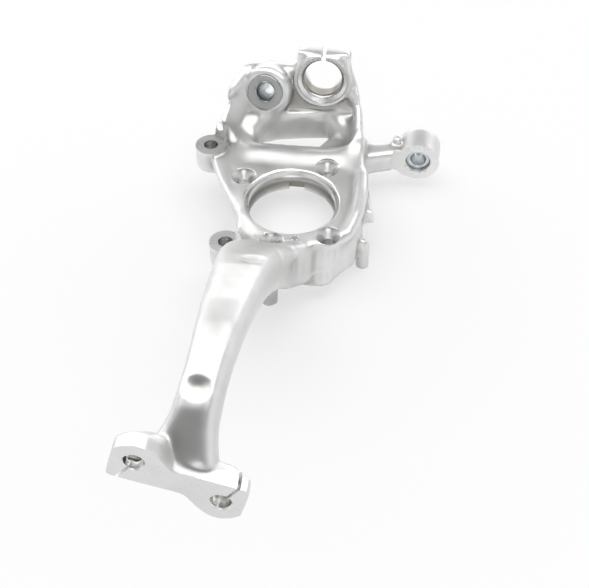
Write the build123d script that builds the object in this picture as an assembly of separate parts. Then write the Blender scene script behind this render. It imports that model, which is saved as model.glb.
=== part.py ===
from build123d import *

import os
from math import cos, radians, sin

# Aluminium steering knuckle, lying outboard face down.  +Z runs inboard along the wheel
# bearing axis and -Y is the top of the car.  Sizes here are measured from the machined
# inboard flange face; place() then puts the origin on the bearing seat, FLANGE_T below it.
# All lengths in millimetres, angles in degrees.

# hub flange; the drops are measured below the bearing seat
BORE_D = 87.0
LIP_W = 4.5
LIP_DEPTH = 7.0
FLANGE_T = 22.0
SEAT_DEPTH = 1.0
SKIRT_DROP = 24.0
REST_DROP = 38.0
NOTCH_W = 16.0
NOTCH_H = 9.0
CENTRE_MARK = (9.4, -54)
CENTRE_MARK_R = 3.6
CENTRE_MARK_DEPTH = 3.0

# four bearing bolts, symmetric about a line at BOLT_AXIS, BOLT_EDGE outside the bore
BOLT_AXIS = 105.0
BOLT_EDGE = 18.5
BOLT_HALF_FAR = 43.8
BOLT_HALF_NEAR = 27.0
BOLT_D = 12.0
BOLT_FACE_D = 22.0
BOLT_MOUTH_D = 24.0
BOLT_CONE_H = 9.5

# brake caliper ears
EAR_TOP = 3.0
EAR_H = 24.0
EAR_R = 16.0
EAR_HOLE_D = 14.5
EAR_SPOT_W = 3.5
EAR_FAR = (-93.7, 74.1)
EAR_NEAR = (-56.0, -69.9)

# neck: REACH and RISE run from the bearing to the front and the centre of the tee head.
# Stations: x centre, share of REACH, share of RISE, top width, thickness, top slope, side draft.
REACH = 442.0
RISE = 104.8
NECK = [
    (-11, 0.127, -0.03, 84, 41, 14, 6),
    (-19, 0.176, 0.134, 64, 43, 33, 6),
    (-20, 0.226, 0.324, 60, 42, 41, 6),
    (-20, 0.339, 0.706, 54, 37, 36, 6),
    (-20, 0.475, 1.059, 45, 32, 26, 6),
    (-21, 0.622, 1.288, 38, 29, 13, 5),
    (-23, 0.758, 1.365, 32, 28, 2, 5),
    (-26, 0.860, 1.336, 30, 28, -13, 7),
    (-30, 0.923, 1.240, 36, 27, -25, 8),
    (-37, 0.982, 1.116, 58, 26, -28, 9),
]
NECK_CORNER = 7.0

# two shallow round marks on top of the neck: station, offset in x
MARK_D = 26.0
MARK_DEPTH = 3.0
MARKS = [(6.92, 1.0), (3.66, 11.0)]

# tee head with two pin bores and one pinch bolt; TEE_END is drawn about the left pin
TEE_X = -31.0
TEE_STRAIGHT = 13.0
TEE_BACK = 11.0
TEE_TILT = -30.6
PIN_HALF = 37.2
PIN_D = 16.0
PIN_SLIT = 2.5
PIN_RELIEF = 1.5
SLIT_LEAN = 7.0
PINCH_ANGLE = 15.1
PINCH_D = 10.5
TEE_END = [(-11.7, -25.7), (-20.1, 5.2), (-15.8, 12.5), (-8.8, 18.5), (0.0, 20.2), (10.2, 17.5)]
TEE_WAIST = (-10.0, 9.5)

# lower ball joint clamp
CLAMP_POS = (14.9, 141.0, 45.0)
CLAMP_TILT = 9.3
CLAMP_L = 27.0
CLAMP_WALL = 10.25
CLAMP_BORE_D = 39.5
CLAMP_MOUTH_W = 7.0
CLAMP_SLIT = 5.2
CLAMP_BOLT_D = 9.0
CLAMP_BOLT_GAP = 3.25
LUG_W = 57.0
LUG_OVER = 7.5
LUG_L = 20.0

# rear lower arm boss with its steel bush
BUSH_POS = (-44.6, 131.0, 32.0)
BUSH_DIR = (-0.176, -0.932, 0.318)
BUSH_WALL = 9.5
BUSH_BOSS_L = 34.0
BUSH_NOSE = 4.0
BUSH_BORE_D = 34.0
BUSH_COLLAR_W = 1.75
BUSH_COLLAR_T = 3.0
BUSH_GAP = 1.5
BUSH_MOUTH_D = 20.0
BUSH_TAIL_D = 13.0

# both bushes: the share of the length that carries the stud taper, the rest is clearance
TAPER_SHARE = 0.45

# steering arm and tie rod boss
TIE_POS = (120.8, 105.7, -25.0)
TIE_L = 32.0
TIE_WALL = 9.8
TIE_BORE_D = 25.4
ARM_ROOT = [(56, 104, -24, 44, 30), (74, 105, -24, 28, 26)]
ARM_END = (-12.8, 10.3, 0, 24, 26)
SLEEVE_SET = 4.0
SLEEVE_MOUTH_D = 16.5
SLEEVE_TAIL_D = 13.5

# splash shield screw posts: x, y, top above the bearing seat, radius; the last has a domed end
SHIELD_POSTS = [(-12, -82, 2, 8.0), (-75, 118, 2, 8.0), (74.5, -20, -9.5, 6.5)]
SCREW_D = 5.0
SCREW_DEPTH = 14.0

# sensor pad on the edge of the flange
PAD_TOP = [(60, -2), (81.5, 1), (73, 40), (60, 42)]
PAD_FOOT = [(60, -3), (84.5, 0), (76, 40), (60, 42)]
PAD_HOLE_D = 6.0
PAD_HOLE_POS = (90, 7, -15.5)
PAD_HOLE_DIR = (-1, 0, -0.1)
PAD_HOLE_L = 20.0

# plan outlines, each rounded at its corners
FLANGE_OUT = [(-14, -64), (46, -59), (71, -24), (72, 30), (62, 92), (-64, 92), (-90, 60), (-48, -24)]
SKIRT_TOP = [(-30, -62), (46, -58), (71, -22), (72, 14), (50, 20), (-40, -20)]
SKIRT_FOOT = [(-30, -75), (43, -75), (67, -38), (74, 0), (50, 20), (-40, -20)]
WEB = [(-56, -8), (-50, -40), (-60, -60), (-40, -76), (-16, -70), (-44, -20)]
WEB_TOP = -4.0
TUB_OUT = [(66, 66), (62, 122), (44, 161), (-62, 161), (-80, 137), (-93, 100), (-86, 66)]
TUB_RIM = [(60, 0), (74, 0), (147, 46), (152, 51), (161, 51)]
TUB_FLOOR = [(-46, 90), (22, 94), (42, 106), (42, 138), (-50, 134), (-56, 112)]
TUB_LEVEL = [(-60, 74), (22, 79), (50, 93), (51, 140), (-60, 138), (-72, 106)]
TUB_MOUTH = [(-93, 62), (19, 60), (60, 77), (44, 152), (-66, 146), (-102, 103)]
STEP_LINE = [(-49, 108), (-46, 117), (-31, 124.5), (-5, 130.5), (22, 134)]
LEDGE = [(-60, 102)] + STEP_LINE + [(27, 127), (34, 124), (36, 150), (-60, 146)]
SHELF = [
    (-60, 108), (-48, 114), (-44, 120), (-24, 129), (0, 132),
    (22, 137), (31, 128), (37, 126), (38, 150), (-60, 146),
]
WINDOW = [(-46, 96), (-41, 93), (-29, 92), (15, 96), (27, 127)] + STEP_LINE[::-1]

# rounded beads along the flange edge and the left rib, and the groove beside the rib
RIM = [
    (38, -56, -6), (57, -43, -4), (66.5, -12, -1), (67.5, 30, -1),
    (63, 72, -2), (57, 104, 3), (53, 132, 22), (45, 150, 37),
]
RIM_R = 7.5
RIB = [(-88, 66, -5), (-78, 36, -4), (-58, -4, -5), (-40, -34, -6), (-20, -62, -7)]
RIB_R = 5.5
VALLEY = [(-73, 60, 7), (-52, -22, 3)]
VALLEY_R = 7.0
VALLEY_L = 83.0

# what follows from the sizes above
SKIRT_Z = -FLANGE_T - SKIRT_DROP
REST_Z = -FLANGE_T - REST_DROP
BOLT_R = BORE_D / 2 + BOLT_EDGE
SEAT_R = BOLT_R + 2
CLAMP_R = CLAMP_BORE_D / 2 + CLAMP_WALL
CLAMP_BOLT_UP = CLAMP_BORE_D / 2 + CLAMP_BOLT_GAP
BUSH_BOSS_R = BUSH_BORE_D / 2 + BUSH_WALL
BUSH_COLLAR_R = BUSH_BORE_D / 2 + BUSH_COLLAR_W
TIE_R = TIE_BORE_D / 2 + TIE_WALL


def face_of(points, z=0.0, radius=0.0):
    face = make_face(Polyline(*[(x, y, z) for x, y in points], close=True))
    return fillet(face.vertices(), radius) if radius else face


def prism(points, z0, z1, radius=0.0):
    return extrude(face_of(points, z0, radius), amount=z1 - z0, dir=(0, 0, 1))


def frustum(low, high, z0, z1, radius=0.0):
    return loft([face_of(low, z0, radius), face_of(high, z1, radius)], ruled=True)


def bead(points, radius, steps=8):
    path = Spline(*points)
    sections = []
    for i in range(steps + 1):
        along = path % (i / steps)
        across = Vector(0, 0, 1).cross(along)
        plane = Plane(origin=path @ (i / steps), x_dir=across, z_dir=along)
        sections.append(plane * RegularPolygon(radius, 8))
    return loft(sections, ruled=True)


def between(a, b, c, d, t):
    return b + 0.5 * t * (c - a + t * (2 * a - 5 * b + 4 * c - d + t * (3 * b - a - 3 * c + d)))


def row_at(rows, place):
    padded = [rows[0]] + rows + [rows[-1]]
    i = min(int(place), len(rows) - 2)
    return [between(*four, place - i) for four in zip(*padded[i:i + 4])]


def fill_in(rows, steps):
    return [row_at(rows, i / steps) for i in range(steps * (len(rows) - 1) + 1)]


def cut_corners(points, radius):
    """An outline whose corners are each rounded by two flats."""
    rounded = []
    for before, corner, after in zip(points[-1:] + points, points, points[1:] + points[:1]):
        corner = Vector(*corner)
        to_before = (Vector(*before) - corner).normalized() * radius
        to_after = (Vector(*after) - corner).normalized() * radius
        rounded += [corner + to_before, corner + (to_before + to_after) * 0.29, corner + to_after]
    return make_face(Polyline(*rounded, close=True))


def shrink(points, factor, about):
    return [(about[0] + (x - about[0]) * factor, about[1] + (y - about[1]) * factor) for x, y in points]


def rod(start, direction, radius, length, end_radius=None):
    plane = Plane(origin=start, z_dir=direction)
    align = (Align.CENTER, Align.CENTER, Align.MIN)
    if end_radius is None:
        return plane * Cylinder(radius, length, align=align)
    return plane * Cone(radius, end_radius, length, align=align)


def post(x, y, z0, z1, radius):
    return rod((x, y, z0), (0, 0, 1), radius, z1 - z0)


def bolt_points():
    angles = [BOLT_AXIS + BOLT_HALF_FAR, BOLT_AXIS - BOLT_HALF_FAR]
    angles += [BOLT_AXIS - 180 + BOLT_HALF_NEAR, BOLT_AXIS - 180 - BOLT_HALF_NEAR]
    return [(BOLT_R * cos(radians(a)), BOLT_R * sin(radians(a))) for a in angles]


def hub():
    body = prism(FLANGE_OUT, -FLANGE_T - SEAT_DEPTH, 0, 12)
    body += frustum(SKIRT_FOOT, SKIRT_TOP, SKIRT_Z, -1, 11)
    body += prism(WEB, 2 - FLANGE_T, WEB_TOP, 4)
    return body + bead(RIM, RIM_R) + bead(RIB, RIB_R)


def ears():
    body = Part()
    for x, y in (EAR_FAR, EAR_NEAR):
        body += post(x, y, EAR_TOP - EAR_H, EAR_TOP, EAR_R)
    return body


def tub():
    low = -FLANGE_T - 6
    side = [(60, -FLANGE_T)] + TUB_RIM + [(161, low)]
    side = make_face(Polyline(*[(-100, y, z) for y, z in side], close=True))
    wedge = extrude(side, amount=200, dir=(1, 0, 0))
    body = prism(TUB_OUT, low, 70, 14) & wedge
    body -= frustum(TUB_FLOOR, TUB_LEVEL, -8, 0, 9)
    body -= frustum(TUB_LEVEL, TUB_MOUTH, 0, 60, 9)
    body += prism(LEDGE, low, 0)
    body += prism(SHELF, low, 7)
    return body - prism(WINDOW, low - 10, 40)


def clamp_plane():
    tilt = radians(CLAMP_TILT)
    return Plane(origin=CLAMP_POS, x_dir=(1, 0, 0), z_dir=(0, -cos(tilt), sin(tilt)))


def clamp_body():
    align = (Align.CENTER, Align.CENTER, Align.MAX)
    body = Cylinder(CLAMP_R, CLAMP_L, align=align)
    lug = Pos(0, CLAMP_BOLT_UP + LUG_OVER - 9, -2) * Box(LUG_W, 18, LUG_L, align=align)
    return clamp_plane() * (body + chamfer(lug.edges().filter_by(Axis.Z), 3))


def clamp_cuts():
    align = (Align.CENTER, Align.CENTER, Align.MAX)
    bore_r = CLAMP_BORE_D / 2
    cut = Cylinder(bore_r, 200)
    cut += Pos(0, 0, 0.01) * Cone(bore_r, bore_r + CLAMP_MOUTH_W, CLAMP_MOUTH_W, align=align)
    cut += Cylinder(CLAMP_R - 1, 40, align=(Align.CENTER, Align.CENTER, Align.MIN))
    cut += Box(CLAMP_SLIT, 100, 120, align=(Align.CENTER, Align.MIN, Align.CENTER))
    cut += Pos(0, CLAMP_BOLT_UP, -CLAMP_L / 2) * Rot(0, 90, 0) * Cylinder(CLAMP_BOLT_D / 2, 120)
    return clamp_plane() * cut


def behind(start, direction, depth):
    return tuple(s - d * depth for s, d in zip(start, direction))


def bush_boss():
    back = behind((0, 0, 0), BUSH_DIR, 1)
    body = rod(BUSH_POS, back, BUSH_BOSS_R - BUSH_NOSE, BUSH_NOSE, BUSH_BOSS_R)
    return body + rod(behind(BUSH_POS, BUSH_DIR, BUSH_NOSE), back, BUSH_BOSS_R, BUSH_BOSS_L - BUSH_NOSE)


def bush_cuts():
    back = behind((0, 0, 0), BUSH_DIR, 1)
    cut = rod(BUSH_POS, back, BUSH_BORE_D / 2, 60)
    cut += rod(BUSH_POS, BUSH_DIR, BUSH_BOSS_R - BUSH_NOSE, 40)
    return cut + rod(BUSH_POS, back, BUSH_COLLAR_R + BUSH_GAP, BUSH_COLLAR_T)


def bush():
    back = behind((0, 0, 0), BUSH_DIR, 1)
    body = taper_bush(BUSH_POS, back, BUSH_BORE_D, BUSH_BOSS_L, BUSH_MOUTH_D, BUSH_TAIL_D)
    collar = rod(BUSH_POS, back, BUSH_COLLAR_R, BUSH_COLLAR_T)
    return body + (collar - rod(BUSH_POS, back, BUSH_BORE_D / 2 - 1, BUSH_COLLAR_T))


def sleeve():
    x, y, z = TIE_POS
    length = TIE_L - SLEEVE_SET
    start = (x, y + SLEEVE_SET, z)
    return taper_bush(start, (0, 1, 0), TIE_BORE_D, length, SLEEVE_MOUTH_D, SLEEVE_TAIL_D)


def taper_bush(start, back, outer_d, length, mouth_d, tail_d):
    body = rod(start, back, outer_d / 2, length) - rod(start, back, tail_d / 2, length)
    return body - rod(start, back, mouth_d / 2, length * TAPER_SHARE, tail_d / 2)


def arm_section(x, y, z, width, height):
    plane = Plane(origin=(x, y, z), x_dir=(0, 1, 0), z_dir=(1, 0, 0))
    a, b = width / 2, height / 2
    return plane * cut_corners([(-a, -b), (a, -b), (a, b), (-a, b)], 6)


def arm():
    x, y, z = TIE_POS
    end = (x + ARM_END[0], y + ARM_END[1], z + ARM_END[2], *ARM_END[3:])
    body = loft([arm_section(*station) for station in fill_in(ARM_ROOT + [end], 2)], ruled=True)
    body += rod(TIE_POS, (0, 1, 0), TIE_R, TIE_L)
    corner = [(0, TIE_R), (-TIE_R - 5.5, -8), (-TIE_R + 6.5, -19), (0, -TIE_R)]
    corner = make_face(Polyline(*[(x + dx, y, z + dz) for dx, dz in corner], close=True))
    body += extrude(corner, amount=22, dir=(0, 1, 0))
    return body + rod((x - TIE_R - 1.3, y + 22.3, z + 15), (0, -1, 0), 5, 12)


def arm_cuts():
    x, y, z = TIE_POS
    return rod((x, y - 1, z), (0, 1, 0), TIE_BORE_D / 2, TIE_L + 2)


def small_bosses():
    body = frustum(PAD_FOOT, PAD_TOP, -FLANGE_T, -7)
    for x, y, top, radius in SHIELD_POSTS:
        body += post(x, y, REST_Z, top - FLANGE_T, radius)
    x, y, top, radius = SHIELD_POSTS[-1]
    return body + rod((x, y, top - FLANGE_T), (0, 0, 1), radius, radius * 0.8, radius * 0.5)


def mark(place, offset):
    x, y, z, width, thick, slope, draft = neck_station(place)
    radius = (MARK_D ** 2 / 4 + MARK_DEPTH ** 2) / (2 * MARK_DEPTH)
    lift = radius - MARK_DEPTH
    centre = (x + offset, y + lift * sin(radians(slope)), z + lift * cos(radians(slope)))
    return Pos(*centre) * Rot(0, -90, 0) * Sphere(radius)


def neck_station(place):
    x, reach, rise, width, thick, slope, draft = row_at(NECK, place)
    return x, -REACH * reach, RISE * rise, width, thick, slope, draft


def neck_section(x, y, z, width, thick, slope, draft):
    down = Vector(0, -sin(radians(slope)), -cos(radians(slope)))
    middle = Vector(x, y, z) + down * (thick / 2)
    plane = Plane(origin=middle, x_dir=(1, 0, 0), z_dir=(0, down.Z, -down.Y))
    a, b = width / 2, thick / 2
    return plane * cut_corners([(-a, b), (a, b), (a + draft, -b), (-a - draft * 0.4, -b)], NECK_CORNER)


def neck():
    stations = [neck_station(i / 2) for i in range(2 * len(NECK) - 1)]
    body = loft([neck_section(*station) for station in stations], ruled=True)
    for place, offset in MARKS:
        body -= mark(place, offset)
    return body


def tee_plane(depth=0.0):
    tilt = radians(TEE_TILT)
    return Plane(origin=(TEE_X, depth - REACH, RISE), x_dir=(cos(tilt), 0, sin(tilt)), z_dir=(0, -1, 0))


def tee():
    half = [(x - PIN_HALF, y) for x, y in TEE_END] + [TEE_WAIST]
    points = half + [(-x, -y) for x, y in half]
    front = make_face(Polyline(*points, close=True))
    body = tee_plane() * extrude(front, amount=-TEE_STRAIGHT)
    small = make_face(Polyline(*shrink(points, 0.72, (0, 0)), close=True))
    ends = [tee_plane(TEE_STRAIGHT) * front, tee_plane(TEE_STRAIGHT + TEE_BACK) * small]
    return body + loft(ends, ruled=True)


def tee_cuts():
    length = 80
    cut = Part()
    for side in (-1, 1):
        cut += Pos(side * PIN_HALF, 0, 0) * Cylinder(PIN_D / 2, length)
        cut += Pos(side * PIN_HALF, 0, 0) * Cone(PIN_D / 2 - 1, PIN_D / 2 + 1, 2)
        slit = Box(PIN_SLIT, 40, length, align=(Align.CENTER, Align.MIN, Align.CENTER))
        lean = -SLIT_LEAN if side > 0 else 180 - SLIT_LEAN
        cut += Pos(side * PIN_HALF, 0, 0) * Rot(0, 0, lean) * slit
    bolt = Rot(0, 0, PINCH_ANGLE) * Pos(0, 0, -12) * Rot(0, 90, 0) * Cylinder(PINCH_D / 2, 160)
    relief = rod((0, 0, 0), (0, 0, -1), PIN_D / 2 + PIN_RELIEF, 60)
    for side in (-1, 1):
        cut += Pos(side * PIN_HALF, 0, -TEE_STRAIGHT - TEE_BACK) * relief
    return tee_plane() * (cut + bolt)


def hub_cuts():
    cut = post(0, 0, -80, 20, BORE_D / 2)
    cut += rod((0, 0, -LIP_DEPTH), (0, 0, 1), BORE_D / 2, LIP_DEPTH, BORE_D / 2 + LIP_W)
    cut += post(0, 0, 0, 12, BORE_D / 2 + LIP_W + 2)
    cut += post(0, 0, -80, -FLANGE_T, SEAT_R)
    cut += Pos(0, BORE_D / 2 - 3.5, -FLANGE_T) * Box(NOTCH_W, 24, 2 * NOTCH_H)
    cut += post(*CENTRE_MARK, -CENTRE_MARK_DEPTH, 1, CENTRE_MARK_R)
    start, end = VALLEY
    cut += rod(start, tuple(b - a for a, b in zip(start, end)), VALLEY_R, VALLEY_L)
    cut += rod(PAD_HOLE_POS, PAD_HOLE_DIR, PAD_HOLE_D / 2, PAD_HOLE_L)
    for x, y, top, radius in SHIELD_POSTS:
        cut += post(x, y, REST_Z - 1, REST_Z + SCREW_DEPTH, SCREW_D / 2)
    for x, y in bolt_points():
        cut += post(x, y, -80, 20, BOLT_D / 2)
        cut += post(x, y, -80, -FLANGE_T, BOLT_FACE_D / 2)
        cut += rod((x, y, -BOLT_CONE_H), (0, 0, 1), BOLT_D / 2, BOLT_CONE_H, BOLT_MOUTH_D / 2)
        cut += post(x, y, 0, 12, BOLT_MOUTH_D / 2)
    for x, y in (EAR_FAR, EAR_NEAR):
        cut += post(x, y, -80, 40, EAR_HOLE_D / 2)
        cut += post(x, y, EAR_TOP, 40, EAR_R - EAR_SPOT_W)
        cut += post(x, y, -80, EAR_TOP - EAR_H, EAR_R - EAR_SPOT_W)
    return cut


def forging():
    body = hub() + ears() + tub() + neck() + tee() + clamp_body() + bush_boss()
    body += arm() + small_bosses()
    return body - hub_cuts() - clamp_cuts() - bush_cuts() - tee_cuts() - arm_cuts()


def place(body, name):
    export_step(Pos(0, 0, FLANGE_T) * body, f"parts/{name}.step")


def main():
    os.makedirs("parts", exist_ok=True)
    place(forging(), "knuckle_forging")
    place(bush(), "lower_arm_taper_bush")
    place(sleeve(), "tie_rod_taper_bush")


main()
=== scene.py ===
import math

import bmesh
import bpy
import numpy as np
import openvdb
from mathutils import Matrix, Vector


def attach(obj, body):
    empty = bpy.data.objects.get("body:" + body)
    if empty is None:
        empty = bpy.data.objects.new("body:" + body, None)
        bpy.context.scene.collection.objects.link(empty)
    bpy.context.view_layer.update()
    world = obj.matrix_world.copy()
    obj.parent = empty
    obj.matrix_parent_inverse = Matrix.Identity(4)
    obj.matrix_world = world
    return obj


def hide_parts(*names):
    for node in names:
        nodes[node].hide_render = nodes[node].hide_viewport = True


# Lengths are in millimetres, measured as in the part's own drawing: from the machined inboard
# flange face, with the bearing seat DATUM below it.  Meshes go out in metres, from the seat.
# The lamps and the floor's ramps are in metres.
MM = 0.001
DATUM = 22.0
FLOOR_Z = -60.0
ORIGIN = Vector((0, 0, 0))
X_AXIS, Y_AXIS, Z_AXIS = Vector((1, 0, 0)), Vector((0, 1, 0)), Vector((0, 0, 1))

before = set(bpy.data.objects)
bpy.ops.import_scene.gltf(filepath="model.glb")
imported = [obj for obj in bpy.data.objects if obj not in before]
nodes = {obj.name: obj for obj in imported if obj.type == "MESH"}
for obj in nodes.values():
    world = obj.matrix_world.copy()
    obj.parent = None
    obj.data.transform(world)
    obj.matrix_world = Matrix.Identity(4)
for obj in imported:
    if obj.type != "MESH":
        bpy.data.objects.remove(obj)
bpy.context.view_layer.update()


def link(obj):
    bpy.context.scene.collection.objects.link(obj)
    return obj


def to_metres(point):
    return (point[0] * MM, point[1] * MM, (point[2] + DATUM) * MM)


# ---------------------------------------------------------------- camera, light, floor
# The camera that fits the photograph: focal length and image width in pixels, angles in
# degrees, and lengths from the bore's centre at the flange face.
FOCAL_PX, IMAGE_WIDTH_PX, SENSOR = 1500.0, 589.0, 36.0
CAMERA_TURN, CAMERA_TILT = 7.0, 45.05
CAMERA_DISTANCE, CAMERA_RISE, CAMERA_SIDE = 1500.0, -93.0, 2.8

# Name, place, what it points at, size, watts.
LAMPS = [
    ("overhead", (0.0, 0.2, 0.95), (0.0, 0.2, 0), (1.6, 0.75), 8.2),
    ("back", (0.2, 2.2, 0.55), (0, 0, 0.1), (3.0, 1.1), 8.5),
    ("front", (0.2, -1.6, 1.3), (0, 0, 0), (1.2, 0.6), 3),
    ("left", (-1.5, 1.0, 0.9), (0, 0, 0), (0.9, 0.7), 3.4),
]

# The studio's grey as the part mirrors it, from the horizon (0) to overhead (1).
SKY = [(0.0, 0.86), (0.32, 0.8), (0.52, 0.46), (0.68, 0.27), (0.85, 0.2), (1.0, 0.12)]

# How far the lit floor gives way to plain white, by the distance from FLOOR_CENTRE: as it is
# seen, and as the metal mirrors it.
FLOOR_HALF = 12.0
FLOOR_LEVEL = (FLOOR_Z + DATUM) * MM
FLOOR_CENTRE = (0.0, 0.03, FLOOR_LEVEL)
# Its first stops paint a pool of light on the floor seen through the bore, round FLOOR_CENTRE;
# from about 5 cm out the floor's own shadow shows, and it fades into plain white farther out.
FLOOR_GLOW = [
    (0.0, 0.86), (0.022, 0.8), (0.05, 0.48), (0.15, 0.62), (0.32, 0.88), (0.55, 0.97), (1.0, 0.99),
]
FLOOR_MIRROR = [(0.0, 0.0), (0.2, 0.0), (0.45, 0.3), (1.0, 0.9)]


def make_camera():
    tilt = math.radians(CAMERA_TILT)
    s, c = math.sin(tilt), math.cos(tilt)
    y = -CAMERA_DISTANCE * c + CAMERA_RISE * s
    z = CAMERA_DISTANCE * s + CAMERA_RISE * c + DATUM
    place = Matrix((
        (1, 0, 0, CAMERA_SIDE * MM),
        (0, s, -c, y * MM),
        (0, c, s, z * MM),
        (0, 0, 0, 1),
    ))
    data = bpy.data.cameras.new("camera")
    data.sensor_width = SENSOR
    data.lens = FOCAL_PX / IMAGE_WIDTH_PX * SENSOR
    data.clip_end = 20
    cam = link(bpy.data.objects.new("camera", data))
    cam.matrix_world = Matrix.Rotation(math.radians(CAMERA_TURN), 4, "Z") @ place
    bpy.context.scene.camera = cam


def area_light(name, place, target, size, power):
    data = bpy.data.lights.new(name, "AREA")
    data.shape = "RECTANGLE"
    data.size, data.size_y = size
    data.energy = power
    lamp = link(bpy.data.objects.new(name, data))
    back = (Vector(place) - Vector(target)).normalized()
    facing = back.to_track_quat("Z", "Y").to_matrix().to_4x4()
    lamp.matrix_world = Matrix.Translation(place) @ facing


def add(nt, kind, **values):
    """A node of kind, with values set on the node or, if it has none of that name, its socket."""
    node = nt.nodes.new(kind)
    for name, value in values.items():
        if hasattr(node, name):
            setattr(node, name, value)
        else:
            node.inputs[name.replace("_", " ")].default_value = value
    return node


def ramp(nt, source, stops):
    """A colour ramp over source; a stop is (place, grey) or (place, (r, g, b))."""
    node = nt.nodes.new("ShaderNodeValToRGB")
    elements = node.color_ramp.elements
    while len(elements) < len(stops):
        elements.new(0.5)
    for element, (place, value) in zip(elements, stops):
        element.position = place
        element.color = (*value, 1) if isinstance(value, tuple) else (value, value, value, 1)
    nt.links.new(source, node.inputs["Fac"])
    return node.outputs["Color"]


def combine(nt, operation, a, b):
    """The output of a Math node with both inputs linked."""
    node = add(nt, "ShaderNodeMath", operation=operation)
    nt.links.new(a, node.inputs[0])
    nt.links.new(b, node.inputs[1])
    return node.outputs[0]


def blend(nt, share, first, second):
    """The output of a Mix Shader: first where share is 0, second where it is 1."""
    node = nt.nodes.new("ShaderNodeMixShader")
    for source, socket in zip((share, first.outputs[0], second.outputs[0]), node.inputs):
        nt.links.new(source, socket)
    return node.outputs[0]


def light_paths(nt):
    """The Light Path node, and 1 for camera rays, straight or through glass, 0 for others."""
    path = nt.nodes.new("ShaderNodeLightPath")
    rays = (path.outputs["Is Camera Ray"], path.outputs["Is Transmission Ray"])
    return path, combine(nt, "MAXIMUM", *rays)


def make_light():
    world = bpy.data.worlds.new("studio")
    bpy.context.scene.world = world
    world.use_nodes = True
    nt = world.node_tree
    nt.nodes.clear()
    out = nt.nodes.new("ShaderNodeOutputWorld")
    place = nt.nodes.new("ShaderNodeTexCoord")
    split = nt.nodes.new("ShaderNodeSeparateXYZ")
    nt.links.new(place.outputs["Generated"], split.inputs[0])
    sky = add(nt, "ShaderNodeBackground", Strength=1.0)
    nt.links.new(ramp(nt, split.outputs["Z"], SKY), sky.inputs["Color"])
    plain = add(nt, "ShaderNodeBackground", Color=(1, 1, 1, 1), Strength=1.0)
    _, shown = light_paths(nt)
    nt.links.new(blend(nt, shown, sky, plain), out.inputs[0])
    for lamp in LAMPS:
        area_light(*lamp)


def make_floor():
    mesh = bpy.data.meshes.new("floor")
    half, z = FLOOR_HALF, FLOOR_LEVEL
    corners = [(-half, -half, z), (half, -half, z), (half, half, z), (-half, half, z)]
    mesh.from_pydata(corners, [], [(0, 1, 2, 3)])
    obj = link(bpy.data.objects.new("floor", mesh))
    mat = bpy.data.materials.new("floor")
    mat.use_nodes = True
    nt = mat.node_tree
    bsdf = nt.nodes["Principled BSDF"]
    bsdf.inputs["Base Color"].default_value = (0.95, 0.95, 0.95, 1)
    bsdf.inputs["Roughness"].default_value = 0.9
    bsdf.inputs["Specular IOR Level"].default_value = 0.1
    glow = add(nt, "ShaderNodeEmission", Color=(1, 1, 1, 1), Strength=1.0)
    path, shown = light_paths(nt)
    far = add(nt, "ShaderNodeVectorMath", operation="DISTANCE")
    nt.links.new(nt.nodes.new("ShaderNodeTexCoord").outputs["Object"], far.inputs[0])
    far.inputs[1].default_value = FLOOR_CENTRE
    distance = far.outputs["Value"]
    to_camera = combine(nt, "MULTIPLY", shown, ramp(nt, distance, FLOOR_GLOW))
    mirrored = path.outputs["Is Glossy Ray"]
    to_metal = combine(nt, "MULTIPLY", mirrored, ramp(nt, distance, FLOOR_MIRROR))
    share = combine(nt, "MAXIMUM", to_camera, to_metal)
    nt.links.new(blend(nt, share, bsdf, glow), nt.nodes["Material Output"].inputs["Surface"])
    mesh.materials.append(mat)


# ---------------------------------------------------------------- metals
def metal(name, edge, face, hollow, rough, grain, height):
    """Bare metal: colour by the attribute "curve", as painted shade and highlights; clouded and
    grained.
    """
    mat = bpy.data.materials.new(name)
    mat.use_nodes = True
    nt = mat.node_tree
    bsdf = nt.nodes["Principled BSDF"]
    bsdf.inputs["Metallic"].default_value = 1.0
    place = nt.nodes.new("ShaderNodeTexCoord").outputs["Object"]
    painted_light = add(nt, "ShaderNodeAttribute", attribute_name="painted_light").outputs["Fac"]
    cloud = add(nt, "ShaderNodeTexNoise", Scale=38.0, Detail=4.0, Roughness=0.6)
    fine = add(nt, "ShaderNodeTexNoise", Scale=grain, Detail=3.0, Roughness=0.7)
    nt.links.new(place, cloud.inputs["Vector"])
    nt.links.new(place, fine.inputs["Vector"])
    # The hollow and edge colours are painted light: shade in hollows and holes, highlights on
    # edges.
    by_painted_light = ramp(nt, painted_light, [(0.2, hollow), (0.5, face), (0.8, edge)])
    by_cloud = ramp(nt, cloud.outputs["Fac"], [(0.3, 0.93), (0.7, 1.0)])
    colour = add(nt, "ShaderNodeMix", data_type="RGBA", blend_type="MULTIPLY")
    colour.inputs["Factor"].default_value = 1.0
    nt.links.new(by_painted_light, colour.inputs["A"])
    nt.links.new(by_cloud, colour.inputs["B"])
    nt.links.new(colour.outputs["Result"], bsdf.inputs["Base Color"])
    roughness = add(nt, "ShaderNodeMapRange", To_Min=rough - 0.05, To_Max=rough + 0.05)
    nt.links.new(cloud.outputs["Fac"], roughness.inputs["Value"])
    nt.links.new(roughness.outputs["Result"], bsdf.inputs["Roughness"])
    bump = add(nt, "ShaderNodeBump", Strength=1.0, Distance=height)
    nt.links.new(fine.outputs["Fac"], bump.inputs["Height"])
    nt.links.new(bump.outputs["Normal"], bsdf.inputs["Normal"])
    return mat


# ---------------------------------------------------------------- simple solids
def basis(direction):
    """Axes x, y, z of a frame whose z is direction and whose x is near the world's x, or its y."""
    z = Vector(direction).normalized()
    side = X_AXIS if abs(z.x) < 0.9 else Y_AXIS
    x = (side - z * side.dot(z)).normalized()
    return x, z.cross(x), z


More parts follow.
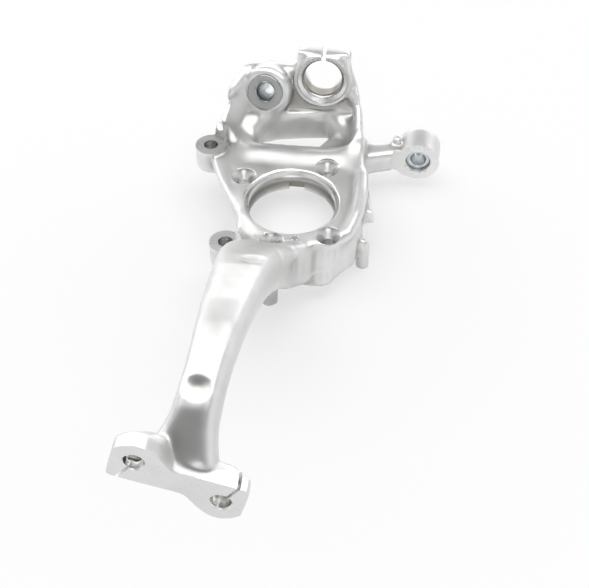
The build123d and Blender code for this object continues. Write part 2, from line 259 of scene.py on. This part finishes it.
def lathe(start, direction, profile, segments=96):
    """A solid of revolution: profile is [(along, radius), ...] from start along direction."""
    x, y, z = basis(direction)
    origin = Vector(start)
    verts, faces = [], []
    for along, radius in profile:
        for k in range(segments):
            a = 2 * math.pi * k / segments
            verts.append(origin + z * along + (x * math.cos(a) + y * math.sin(a)) * radius)
    for ring in range(len(profile) - 1):
        for k in range(segments):
            a, b = ring * segments + k, ring * segments + (k + 1) % segments
            faces.append((a, b, b + segments, a + segments))
    faces.append(tuple(reversed(range(segments))))
    faces.append(tuple(range((len(profile) - 1) * segments, len(profile) * segments)))
    return verts, faces


def rod(start, direction, radius, length):
    return lathe(start, direction, [(0, radius), (length, radius)])


def hole(start, direction, radius, length, segments=64):
    """A rod with a ring of points about every 5 mm, so that "curve" can paint shade inside it."""
    steps = max(2, int(length / 5))
    profile = [(length * k / steps, radius) for k in range(steps + 1)]
    return lathe(start, direction, profile, segments)


def ball(centre, radius, segments=24):
    steps = segments // 2
    turns = [math.pi * k / steps for k in range(1, steps)]
    profile = [(radius - radius * math.cos(t), radius * math.sin(t)) for t in turns]
    return lathe(Vector(centre) - Vector((0, 0, radius)), Z_AXIS, profile, segments)


def capsule(a, b, radius, segments=24):
    """A rod with round ends."""
    a, b = Vector(a), Vector(b)
    steps = segments // 4
    turns = [math.pi / 2 * k / steps for k in range(1, steps + 1)]
    arc = [(math.cos(t), math.sin(t)) for t in turns]
    profile = [(radius - radius * c, radius * s) for c, s in arc]
    profile += [((b - a).length + radius + radius * c, radius * s) for c, s in reversed(arc)]
    return lathe(a - (b - a).normalized() * radius, b - a, profile, segments)


def capsules(line, radius):
    return [capsule(a, b, radius) for a, b in zip(line, line[1:])]


def slab(outline, origin, x_dir, y_dir, low, high):
    """A prism: outline in the plane of x_dir and y_dir, from low to high along their normal."""
    x, y = Vector(x_dir).normalized(), Vector(y_dir).normalized()
    z = x.cross(y)
    o = Vector(origin)
    n = len(outline)
    verts = [o + x * a + y * b + z * h for h in (low, high) for a, b in outline]
    faces = [tuple(reversed(range(n))), tuple(range(n, 2 * n))]
    faces += [(k, (k + 1) % n, n + (k + 1) % n, n + k) for k in range(n)]
    return verts, faces


def box_outline(x0, x1, y0, y1):
    return [(x0, y0), (x1, y0), (x1, y1), (x0, y1)]


def circle_outline(radius, segments=96):
    turns = [2 * math.pi * k / segments for k in range(segments)]
    return [(radius * math.cos(t), radius * math.sin(t)) for t in turns]


# ---------------------------------------------------------------- signed distance grid
VOXEL = 1.7
BAND = 7             # voxels on each side of a surface in which distances are kept
MARGIN = BAND + 2    # voxels that the grid reaches beyond the part


class Grid:
    """A box of voxels round the part, with fields in millimetres: negative inside a solid."""

    def __init__(self, low, high, voxel):
        self.voxel = voxel
        self.low = np.floor(np.array(low) / voxel).astype(int) - MARGIN
        self.shape = tuple(np.ceil(np.array(high) / voxel).astype(int) + MARGIN - self.low)
        self.transform = openvdb.createLinearTransform(voxelSize=voxel)

    def level_set(self, verts, tris):
        level = openvdb.FloatGrid.createLevelSetFromPolygons(
            np.asarray(verts, np.float32), triangles=np.asarray(tris, np.uint32),
            transform=self.transform, halfWidth=BAND)
        out = np.zeros(self.shape, np.float32)
        level.copyToArray(out, ijk=tuple(int(i) for i in self.low))
        return out

    def solid(self, verts, faces):
        tris = []
        for f in faces:
            tris += [(f[0], f[k], f[k + 1]) for k in range(1, len(f) - 1)]
        return self.level_set([tuple(v) for v in verts], tris)

    def axes(self):
        return [((self.low[i] + np.arange(self.shape[i])) * self.voxel).astype(np.float32)
                for i in range(3)]

    def mesh(self, field):
        level = openvdb.FloatGrid(float(BAND * self.voxel))
        level.transform = self.transform
        level.copyFromArray(field, ijk=tuple(int(i) for i in self.low))
        return level.convertToPolygons(0.0, 0.0)

    def sample(self, field, points):
        """Trilinear reading of field at points."""
        p = np.asarray(points) / self.voxel - self.low
        i = np.clip(np.floor(p).astype(int), 0, np.array(self.shape) - 2)
        f = p - i
        out = np.zeros(len(p))
        for dx in (0, 1):
            for dy in (0, 1):
                for dz in (0, 1):
                    w = (np.abs(1 - dx - f[:, 0]) * np.abs(1 - dy - f[:, 1])
                         * np.abs(1 - dz - f[:, 2]))
                    out += w * field[i[:, 0] + dx, i[:, 1] + dy, i[:, 2] + dz]
        return out


def blur(field, sigma):
    """Gaussian blur, sigma in voxels, cut off at 2.5 of them."""
    reach = int(math.ceil(2.5 * sigma))
    kernel = np.exp(-0.5 * (np.arange(-reach, reach + 1) / sigma) ** 2)
    kernel = (kernel / kernel.sum()).astype(np.float32)
    for axis in range(3):
        pad = [(0, 0)] * 3
        pad[axis] = (reach, reach)
        wide = np.pad(field, pad, mode="edge")
        out = np.zeros_like(field)
        for k, w in enumerate(kernel):
            cut = [slice(None)] * 3
            cut[axis] = slice(k, k + field.shape[axis])
            out += w * wide[tuple(cut)]
        field = out
    return field


def weight(grid, centre, radius, fade=12.0):
    """1 inside a ball, 0 outside, with a soft edge."""
    x, y, z = grid.axes()
    far = np.sqrt((x[:, None, None] - centre[0]) ** 2 + (y[None, :, None] - centre[1]) ** 2
                  + (z[None, None, :] - centre[2]) ** 2)
    return np.clip((radius - far) / fade + 0.5, 0, 1)


def share_of(grid, places):
    """The greatest weight of several balls, given as (centre, radius)."""
    share = np.zeros(grid.shape, np.float32)
    for centre, radius in places:
        share = np.maximum(share, weight(grid, centre, radius))
    return share


# ---------------------------------------------------------------- places on the part
# The split clamp, the lower arm bush, the tie rod eye and the neck's two-pin head ("tee"): the
# centre of each one's machined face, which looks along OUT or, without one, along -y.  UP, X
# and Z are directions in the face: UP runs along the clamp's slit, X from pin to pin.
CLAMP_TILT = math.radians(9.3)
CLAMP = Vector((14.9, 141.0, 45.0))
CLAMP_OUT = Vector((0, -math.cos(CLAMP_TILT), math.sin(CLAMP_TILT)))
CLAMP_UP = Vector((0, math.sin(CLAMP_TILT), math.cos(CLAMP_TILT)))
BUSH = Vector((-44.6, 131.0, 32.0))
BUSH_OUT = Vector((-0.176, -0.932, 0.318)).normalized()
TIE = Vector((120.8, 105.7, -25.0))
TEE = Vector((-31.0, -442.0, 104.8))
TEE_TILT = math.radians(-30.6)
TEE_X = Vector((math.cos(TEE_TILT), 0, math.sin(TEE_TILT)))
TEE_Z = Vector((-math.sin(TEE_TILT), 0, math.cos(TEE_TILT)))
PINS = [TEE + TEE_X * s for s in (-37.2, 37.2)]

# The caliper ears, the bearing bolts, the shield screw posts, the sensor pad, and the middles
# of the neck's dimples.
EARS = [Vector((-93.7, 74.1, 3.0)), Vector((-56.0, -69.9, 3.0))]
BOLT_CIRCLE_R = 62
BOLT_ANGLES = [math.radians(a) for a in (105 + 43.8, 105 - 43.8, 105 - 180 + 27, 105 - 180 - 27)]
BOLTS = [Vector((BOLT_CIRCLE_R * math.cos(a), BOLT_CIRCLE_R * math.sin(a), 0))
         for a in BOLT_ANGLES]
POSTS = [(-12, -82, 8.0), (-75, 118, 8.0), (74.5, -20, 6.5)]    # x, y, radius
PAD = Vector((76.0, 18.0, -15.0))
NECK_MARKS = [Vector((-25.8, -376, 140)), Vector((-9, -190, 99))]
EAR_R = 18
SEAT_R = 64.0

# Outlines: the hub flange in x and y, and the rest in the plane of their machined face.
FLANGE = [(-14, -64), (46, -59), (71, -24), (72, 30), (62, 92), (-64, 92), (-90, 60), (-48, -24)]
TIE_FACE = [(0, 22.5), (-28, -8), (-16, -19), (0, -22.5)]
TEE_HALF = [
    (-48.9, -25.7), (-57.3, 5.2), (-53.0, 12.5), (-46.0, 18.5), (-37.2, 20.2), (-27.0, 17.5),
    (-10.0, 9.5),
]
TEE_FACE = TEE_HALF + [(-a, -b) for a, b in TEE_HALF]

# ---------------------------------------------------------------- the forging's soft skin
# Shapes that the CAD solid has plainer.  The left rim is a bead over a hollow, and ends in a
# block; the hump is where the neck leaves the flange; the plate's lip, in y and z, runs along
# the tub; the fills, as (outline, top), raise two corners of the tub's floor; the dimples, as
# (centre, radius), are balls cut into the neck.
LEFT_RIM = [(-84, 76, -1), (-86, 94, 10), (-85, 110, 20), (-79, 129, 32), (-69, 146, 43)]
LEFT_RIM_R = 5.5
LEFT_HOLLOW = [(-67, 64, 8.5), (-71, 84, 7), (-75, 100, 14), (-73, 118, 26)]
LEFT_HOLLOW_R = 8.5
RIM_END = box_outline(-71, -61, 146, 157)
HUMP = [(12, -100, 25), (5, -140, 57)]
HUMP_R = 8.2
PLATE_LIP = [
    (53, -3), (58, 0.4), (66, 2.4), (74, 4.4), (80, 4.2), (86, -1), (86, -12), (53, -12),
]
FILLS = [
    ([(-80, 118), (-66, 112), (-54, 114), (-46, 119), (-40, 143), (-68, 138)], -4),
    ([(34, 126), (44, 114), (54, 107), (50, 138), (34, 142)], 3),
]
DIMPLES = [((-25.8, -379.4, 158.4), 21.5), ((-9, -188, 116.0), 18.6)]

# Stock for machining: what fills the bore, the bolt holes, the ears and the clamp, the clamp's
# lugs, and the bush boss and tie rod eye as (along, radius).
BORE_FILL_R = 50
BOLT_FILL_R = 13
EAR_FILL_R = 16
CLAMP_FILL_R = 30
CLAMP_LUGS = box_outline(-27.5, 27.5, 12, 30.5)
BUSH_BOSS = [(0, 22.5), (4, 26.5), (34, 26.5)]
TIE_EYE = [(0, 22.5), (28, 22.5), (32, 21.2), (35, 18)]

# How softly the skin is blurred: MELT in the balls of MELTED (centre, radius), where shapes
# flow into each other, CRISP in those of crisp_places(), SOFT elsewhere.
CRISP_BLUR = 1.2
SOFT_BLUR = 2.6
MELT_BLUR = 5.8
MELTED = [
    ((-64, 114, 3), 34), ((-54, 124, 8), 28), ((44, 124, 6), 30), ((9, -122, 46), 26),
    ((40, 140, 20), 18), ((15, 150, 76), 13), ((-45, -436, 131), 18),
]
MELTED += [((x, 72, 0), 20) for x in range(-56, 60, 14)]

# How the attribute "curve" is made, which paints light and shade into the colour: from how far
# the skin lies off its own blur (painted shade in hollows, painted highlight on edges), plus a
# share of the dents, which paints their reflections as streaks.  In holes it fades to DEEP_SHADE,
# a painted shade, from DEEP_FROM under the filled skin and over DEEP_FADE, but not in the bolts'
# cones.
BEND_BLUR = 4.0
BEND_GAIN = 0.35
DENT_REFLECTION_GAIN = 0.5
DEEP_FROM = 4.5
DEEP_FADE = 4
DEEP_SHADE = 0.2
CONE_R = 13
CONE_BOTTOM = -9.6


def ray_length(outline, angle):
    """How far outline lies from the origin at angle."""
    c, s = math.cos(angle), math.sin(angle)
    best = 1e9
    for (x0, y0), (x1, y1) in zip(outline, outline[1:] + outline[:1]):
        run = (x1 - x0) * s - (y1 - y0) * c
        if abs(run) > 1e-9:
            t = (y0 * c - x0 * s) / run
            reach = (x0 + t * (x1 - x0)) * c + (y0 + t * (y1 - y0)) * s
            if 0 <= t <= 1 and 0 < reach < best:
                best = reach
    return best


def seat_outline():
    """The bearing seat's circle where the flange holds it, a little inside both."""
    angles = [2 * math.pi * k / 96 for k in range(96)]
    reach = [min(SEAT_R - 1, ray_length(FLANGE, a) - 1.5) for a in angles]
    return [(r * math.cos(a), r * math.sin(a)) for r, a in zip(reach, angles)]


def stock():
    """Metal that is there before machining: it fills the bores and stands over milled faces."""
    solids = [slab(seat_outline(), ORIGIN, X_AXIS, Y_AXIS, -25, -1)]
    solids += [rod((0, 0, -23), Z_AXIS, BORE_FILL_R, 22.9)]
    solids += [rod(p + Vector((0, 0, -26)), Z_AXIS, BOLT_FILL_R, 25.9) for p in BOLTS]
    solids += [rod(p + Vector((0, 0, -27)), Z_AXIS, EAR_FILL_R, 31) for p in EARS]
    solids += [rod((x, y, FLOOR_Z - 4), Z_AXIS, r + 0.2, 24) for x, y, r in POSTS]
    solids += [rod(CLAMP + CLAMP_OUT * 3, -CLAMP_OUT, CLAMP_FILL_R, 30)]
    solids += [slab(CLAMP_LUGS, CLAMP, X_AXIS, CLAMP_UP, -22, -2)]
    solids += [lathe(BUSH, -BUSH_OUT, BUSH_BOSS)]
    solids += [lathe(TIE + Vector((0, -3, 0)), Y_AXIS, TIE_EYE)]
    solids += [slab(TIE_FACE, TIE, X_AXIS, Z_AXIS, -20, 3)]
    solids += [slab(TEE_FACE, TEE, TEE_X, TEE_Z, -13, 4)]
    solids += capsules(HUMP, HUMP_R) + capsules(LEFT_RIM, LEFT_RIM_R)
    solids += [slab(outline, ORIGIN, X_AXIS, Y_AXIS, -20, top) for outline, top in FILLS]
    solids += [slab(RIM_END, ORIGIN, X_AXIS, Y_AXIS, 30, 50)]
    solids += [slab(PLATE_LIP, ORIGIN, Y_AXIS, Z_AXIS, -60, 54)]
    return solids


def crisp_places():
    """Where edges are tight: the head's ears, the tie rod eye, the clamp, the sensor pad, the
    caliper ears, the posts' ends and the neck's two dimples."""
    places = [(p + Vector((0, 6, 0)), 27) for p in PINS]
    places += [(TIE + Vector((2, 6, 0)), 31), (CLAMP - CLAMP_OUT * 6 - CLAMP_UP * 5, 29)]
    places += [(PAD, 26)] + [(p, 24) for p in EARS] + [((x, y, -42), 24) for x, y, r in POSTS]
    return places + [(p, 20) for p in NECK_MARKS]


def dents(p, n):
    """How far the forging's unevenness lifts points p, with normals n: slow waves, and on the
    near wall a flash line and streaks."""
    x, y, z = p.T
    waves = 0.10 * np.sin(x / 9.1 + 1.3 * np.sin(y / 17.0)) * np.sin(y / 11.3 + z / 8.7)
    waves += 0.07 * np.sin(x / 4.7 + y / 6.1) * np.sin(z / 5.3 - x / 7.9)
    near_wall = np.clip(1.4 - 2.2 * np.abs(n[:, 2]), 0, 1) * np.clip((-48 - y) / 8, 0, 1)
    near_wall = near_wall * np.clip((y + 100) / 12, 0, 1) * np.clip((-4 - z) / 8, 0, 1)
    flash = 0.55 * np.exp(-((z + 27.5) / 1.5) ** 2) * near_wall
    streaks = 0.26 * np.sin(x / 1.2 + 1.5 * np.sin(x / 7.0)) + 0.22 * np.sin(x / 2.7 + 0.8)
    return waves + flash + near_wall * streaks


def slope(grid, field, p, step=0.8):
    """Unit gradient of field at p, and the gradient's length."""
    g = np.stack([grid.sample(field, p + d) - grid.sample(field, p - d)
                  for d in np.eye(3) * step], 1) / (2 * step)
    size = np.maximum(np.linalg.norm(g, axis=1, keepdims=True), 1e-6)
    return g / size, size


def settle(grid, field, points, quads, rounds=3):
    """Even out the mesh along the surface, and put its points on it."""
    for _ in range(rounds):
        total = np.zeros_like(points)
        count = np.zeros((len(points), 1))
        for k in range(4):
            for there in (quads[:, (k + 1) % 4], quads[:, (k + 3) % 4]):
                np.add.at(total, quads[:, k], points[there])
                np.add.at(count, quads[:, k], 1)
        points = 0.5 * points + 0.5 * total / np.maximum(count, 1)
        for _ in range(2):
            n, size = slope(grid, field, points)
            points = points - n * np.clip(grid.sample(field, points)[:, None] / size, -1, 1)
    return points


def read_points(mesh):
    p = np.empty(len(mesh.vertices) * 3)
    mesh.vertices.foreach_get("co", p)
    return p.reshape(-1, 3) / MM - (0, 0, DATUM)


def make_skin():
    """The forging before machining: the CAD solid with stock() added and the hollow and dimples
    carved, as a distance field that is blurred, meshed, evened out and dented."""
    mesh = nodes["knuckle_forging"].data
    verts = read_points(mesh)
    mesh.calc_loop_triangles()
    tris = np.empty(len(mesh.loop_triangles) * 3, np.int32)
    mesh.loop_triangles.foreach_get("vertices", tris)
    grid = Grid(verts.min(0), verts.max(0), VOXEL)
    field = grid.level_set(verts, tris.reshape(-1, 3))
    for solid in capsules(LEFT_HOLLOW, LEFT_HOLLOW_R):
        field = np.maximum(field, -grid.solid(*solid))
    for solid in stock():
        field = np.minimum(field, grid.solid(*solid))
    for dimple in DIMPLES:
        field = np.maximum(field, -grid.solid(*ball(*dimple)))
    widths = (CRISP_BLUR, SOFT_BLUR, MELT_BLUR)
    tight, loose, melted = (blur(field, width / VOXEL) for width in widths)
    melt, crisp = share_of(grid, MELTED), share_of(grid, crisp_places())
    field = tight * crisp + (loose * (1 - melt) + melted * melt) * (1 - crisp)
    field = field.astype(np.float32)
    points, _, quads = grid.mesh(field)
    points = settle(grid, field, points.astype(np.float64), quads)
    n, _ = slope(grid, field, points)
    points = points + n * dents(points, n)[:, None]
    return grid, field, points, quads


def write_painted_light(mesh, values):
    mesh.attributes.new("painted_light", "FLOAT", "POINT").data.foreach_set("value", values)


def mark_painted_light(obj, grid, field):
    """Writes painted light at each point: painted shade, under 0.5, in hollows and deep in holes,
    and painted highlight, over it, on edges."""
    p = read_points(obj.data)
    wide = blur(field, BEND_BLUR / VOXEL)
    here = grid.sample(field, p)
    # Painted shade deep in holes, left off in the bolts' cones.
    deep = np.clip((-here - DEEP_FROM) / DEEP_FADE, 0, 1)
    for bolt in BOLTS:
        in_cone = np.hypot(p[:, 0] - bolt.x, p[:, 1] - bolt.y) < CONE_R
        deep[in_cone & (p[:, 2] > CONE_BOTTOM)] = 0
    # The bore's notch is painted fully dark, as shade.
    in_notch = (np.abs(p[:, 0]) < 8.5) & (p[:, 1] > 43) & (p[:, 1] < 48.5) & (p[:, 2] < -12)
    deep[in_notch] = 1
    n, _ = slope(grid, field, p)
    # Bending paints shade and highlights; the dents' share paints their reflections as light and
    # dark streaks.
    bend = 0.5 + BEND_GAIN * (grid.sample(wide, p) - here) + DENT_REFLECTION_GAIN * dents(p, n)
    bend = np.clip(bend, 0, 1) * (1 - deep) + DEEP_SHADE * deep
    write_painted_light(obj.data, bend.astype(np.float32))


# ---------------------------------------------------------------- machining
# Holes as (along, radius) from where the cutter starts.  Where a radius repeats, the ring of
# points is there for "curve" to paint shade inside the hole.
BORE = [
    (0, SEAT_R), (28, SEAT_R), (28.01, 43.5), (33, 43.5), (38, 43.5), (42.5, 43.5), (44.0, 45.2),
    (46.2, 46.3), (48.4, 47.0), (49.5, 48.2), (50, 50.4), (54, 50.4),
]
COUNTERSINK = [
    (0, 11), (28, 11), (28.01, 6), (34, 6), (40, 6), (40.5, 6), (46.2, 9.8), (49.7, 12.6),
    (50, 13.1), (53, 13.1),
]
CLAMP_BORE = [
    (0, 27), (6, 26.75), (7.2, 26.2), (9.4, 22.6), (10.4, 22.3), (12.6, 20.6), (13, 19.75),
    (18, 19.75), (24, 19.75), (30, 19.75), (45, 19.75),
]
BUSH_BORE = [(0, 20.25), (9, 20.25), (9.01, 17), (20, 17), (30, 17), (50, 17)]
TIE_BORE = [(0, 13.5), (6, 13.5), (6.8, 12.7), (50, 12.7)]
PIN_BORE = [
    (0, 9), (6, 9), (7, 8), (12, 8), (18, 8), (24, 8), (30, 8), (30.01, 9.5), (90, 9.5),
]
POST_BORE = [(0, 3.1), (6, 3.1), (6.6, 2.5), (20, 2.5)]
CENTRE_MARK = [(0, 3.2), (2.4, 3.6), (3, 4.1), (6, 4.1)]
EAR_BOLT_R = 7.25
CLAMP_BOLT_R = 4.5
PINCH_BOLT_R = 5.25
SENSOR_SCREW_R = 3
PINCH_ANGLE = math.radians(15.1)
UNDER = Vector((0, 0, -50))        # where cutters through the flange start, under its face

# Milled faces; the near ear's is clipped on the neck's side.
EAR_BACK_R = 12.5
CLAMP_FACE_R = 32
TIE_FRONT_R = 29.5
TIE_BACK_R = 26
TEE_MILL = box_outline(-70, 70, -50, 50)
EAR_CLIPPED = [(min(x, 11 - 0.25 * y), y) for x, y in circle_outline(EAR_R)]

# Slits, the bore's notch, and the staking marks round the tie rod sleeve.
HEAD_SLIT = box_outline(-1.25, 1.25, 0, 40)
HEAD_SLIT_LEAN = math.radians(7.0)
CLAMP_SLIT = box_outline(-2.6, 2.6, 0, 50)
NOTCH = box_outline(-8, 8, -12, 7.5)
NOTCH_CENTRE = (0, 40, -23)
STAKE_ANGLES = [math.radians(a) for a in (207, 240, 280, 305)]
STAKE_CIRCLE_R = 14.0
STAKE_R = 1.3

# The bushes' sections, closed, as (along, radius).
LOWER_ARM_BUSH = [
    (0.5, 18.75), (0, 18.25), (0, 17.4), (1.3, 11.6), (1.0, 11.2), (1.0, 10.9), (1.6, 10.0),
    (15.3, 6.5), (33.2, 6.5), (34, 7.3), (34, 16.2), (33.2, 17), (3, 17), (3, 18.75),
]
TIE_ROD_BUSH = [
    (0.6, 12.7), (0, 12.1), (0, 9.0), (0.7, 8.25), (12.6, 6.75), (27.3, 6.75), (28, 7.4),
    (28, 12.1), (27.4, 12.7),
]


def milled_faces():
    solids = [slab(circle_outline(EAR_R), EARS[0], X_AXIS, Y_AXIS, 0, 9)]
    solids += [slab(EAR_CLIPPED, EARS[1], X_AXIS, Y_AXIS, 0, 9)]
    solids += [rod(p + Vector((0, 0, -24)), -Z_AXIS, EAR_BACK_R, 9) for p in EARS]
    solids += [slab(TEE_MILL, TEE, TEE_X, TEE_Z, 0, 10)]
    solids += [rod(CLAMP, CLAMP_OUT, CLAMP_FACE_R, 8), rod(TIE, -Y_AXIS, TIE_FRONT_R, 9)]
    solids += [rod(TIE + Vector((0, 32, 0)), Y_AXIS, TIE_BACK_R, 9)]
    solids += [rod((x, y, FLOOR_Z), -Z_AXIS, r + 3, 8) for x, y, r in POSTS]
    return solids


def turned_bores():
    solids = [lathe(UNDER, Z_AXIS, BORE, 160)]
    solids += [hole(p + UNDER, Z_AXIS, EAR_BOLT_R, 80) for p in EARS]
    solids += [lathe((9.4, -54, -3), Z_AXIS, CENTRE_MARK, 32)]
    solids += [lathe(CLAMP + CLAMP_OUT * 6, -CLAMP_OUT, CLAMP_BORE, 128)]
    solids += [lathe(BUSH + BUSH_OUT * 6, -BUSH_OUT, BUSH_BORE)]
    solids += [lathe(p + Vector((0, -6, 0)), Y_AXIS, profile)
               for p, profile in [(TIE, TIE_BORE)] + [(pin, PIN_BORE) for pin in PINS]]
    solids += [lathe((x, y, FLOOR_Z - 6), Z_AXIS, POST_BORE, 32) for x, y, r in POSTS]
    solids += [hole((90, 7, -15.5), (-1, 0, -0.1), SENSOR_SCREW_R, 20, 32)]
    return solids


def slits():
    """The head's two slits, the clamp's slit, the bore's notch and the staking marks."""
    solids = []
    for pin, side in zip(PINS, (-1, 1)):
        along = (TEE_Z * math.cos(HEAD_SLIT_LEAN) + TEE_X * math.sin(HEAD_SLIT_LEAN)) * side
        across = TEE_X * math.cos(HEAD_SLIT_LEAN) - TEE_Z * math.sin(HEAD_SLIT_LEAN)
        solids.append(slab(HEAD_SLIT, pin, across * side, along, -40, 12))
    solids.append(slab(CLAMP_SLIT, CLAMP, X_AXIS, CLAMP_UP, -60, 40))
    solids.append(slab(NOTCH, NOTCH_CENTRE, X_AXIS, Y_AXIS, -9, 10))
    for a in STAKE_ANGLES:
        out = Vector((math.cos(a), 0, math.sin(a)))
        solids.append(ball(TIE + out * STAKE_CIRCLE_R, STAKE_R, 12))
    return solids


def pinch_bolts():
    """The bolt holes across the clamp's slit and across both of the head's."""
    lug = CLAMP + CLAMP_UP * 23 - CLAMP_OUT * 13.5
    pinch = TEE_X * math.cos(PINCH_ANGLE) + TEE_Z * math.sin(PINCH_ANGLE)
    return [
        hole(lug - Vector((60, 0, 0)), X_AXIS, CLAMP_BOLT_R, 120),
        hole(TEE + Vector((0, 12, 0)) - pinch * 80, pinch, PINCH_BOLT_R, 160),
    ]


def cutter_groups():
    """Machining in its order, as groups of solids that don't touch each other in a group."""
    return {
        "milled": milled_faces(),
        "turned": turned_bores(),
        "sunk": [lathe(p + UNDER, Z_AXIS, COUNTERSINK) for p in BOLTS],
        "slits": slits(),
        "bolt_holes": pinch_bolts(),
    }


def make_mesh(name, points, faces):
    mesh = bpy.data.meshes.new(name)
    faces = [tuple(int(i) for i in face) for face in faces]
    mesh.from_pydata([to_metres(p) for p in points], [], faces)
    return mesh


def face_outward(mesh):
    bm = bmesh.new()
    bm.from_mesh(mesh)
    bmesh.ops.recalc_face_normals(bm, faces=bm.faces)
    bm.to_mesh(mesh)
    bm.free()


def finish_mesh(obj):
    for p in obj.data.polygons:
        p.use_smooth = True
    obj.data.set_sharp_from_angle(angle=math.radians(30))


def join(solids):
    verts, faces = [], []
    for v, f in solids:
        faces += [tuple(i + len(verts) for i in face) for face in f]
        verts += v
    return verts, faces


def cut(obj, name, solids, material):
    """Takes solids out of obj, and gives the cut faces material."""
    tool = link(bpy.data.objects.new(name, make_mesh(name, *join(solids))))
    face_outward(tool.data)
    tool.data.materials.append(material)
    mod = obj.modifiers.new(name, "BOOLEAN")
    mod.operation, mod.solver, mod.object = "DIFFERENCE", "MANIFOLD", tool
    mod.material_mode = "TRANSFER"
    depsgraph = bpy.context.evaluated_depsgraph_get()
    made = bpy.data.meshes.new_from_object(obj.evaluated_get(depsgraph), depsgraph=depsgraph)
    obj.modifiers.clear()
    obj.data = made
    bpy.data.objects.remove(tool)


def bush(name, node, start, direction, section, inside):
    """A turned steel bush: section spun about direction; "curve" is inside round its hole, which
    paints a highlight there.
    """
    x, y, z = basis(direction)
    segments, n = 96, len(section)
    points, faces = [], []
    for k in range(segments):
        a = 2 * math.pi * k / segments
        out = x * math.cos(a) + y * math.sin(a)
        points += [Vector(start) + z * along + out * radius for along, radius in section]
    for k in range(segments):
        for i in range(n):
            a, b = k * n + i, k * n + (i + 1) % n
            c, d = (k + 1) % segments * n + (i + 1) % n, (k + 1) % segments * n + i
            faces.append((a, b, c, d))
    obj = link(bpy.data.objects.new(name, make_mesh(name, points, faces)))
    face_outward(obj.data)
    finish_mesh(obj)
    hole_r = min(r for _, r in section) * 1.6
    write_painted_light(obj.data, [inside if r < hole_r else 0.5 for _, r in section] * segments)
    obj.data.materials.append(steel)
    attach(obj, "root")
    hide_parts(node)


make_camera()
make_light()
make_floor()
# The hollow colours are painted shade in hollows and holes, the edge colours painted highlights;
# the steel's light hollow colour is a painted highlight in the bushes' holes.
alu = metal(
    "forged_aluminium", edge=(0.86, 0.86, 0.86), face=(0.75, 0.75, 0.742),
    hollow=(0.5, 0.49, 0.468), rough=0.38, grain=700.0, height=0.00003)
mill = metal(
    "machined_aluminium", edge=(0.88, 0.88, 0.88), face=(0.84, 0.84, 0.83),
    hollow=(0.3, 0.285, 0.26), rough=0.28, grain=1400.0, height=0.000004)
steel = metal(
    "bush_steel", edge=(0.8, 0.8, 0.8), face=(0.41, 0.415, 0.415),
    hollow=(0.8, 0.83, 0.85), rough=0.24, grain=1400.0, height=0.000003)
for name, node in nodes.items():
    node.data.materials.clear()
    node.data.materials.append(alu if name == "knuckle_forging" else steel)

grid, field, points, quads = make_skin()
skin = link(bpy.data.objects.new("forging_skin", make_mesh("forging_skin", points, quads)))
skin.data.materials.append(alu)
for name, solids in cutter_groups().items():
    cut(skin, name, solids, mill)
mark_painted_light(skin, grid, field)
finish_mesh(skin)
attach(skin, "root")
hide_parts("knuckle_forging")

# The bushes' holes are painted lighter than their faces, as a highlight.
bush("lower_arm_bush", "lower_arm_taper_bush", BUSH, -BUSH_OUT, LOWER_ARM_BUSH, 0.36)
bush("tie_rod_bush", "tie_rod_taper_bush", TIE + Vector((0, 4, 0)), Y_AXIS, TIE_ROD_BUSH, 0.2)
bpy.context.scene.view_settings.view_transform = "Standard"
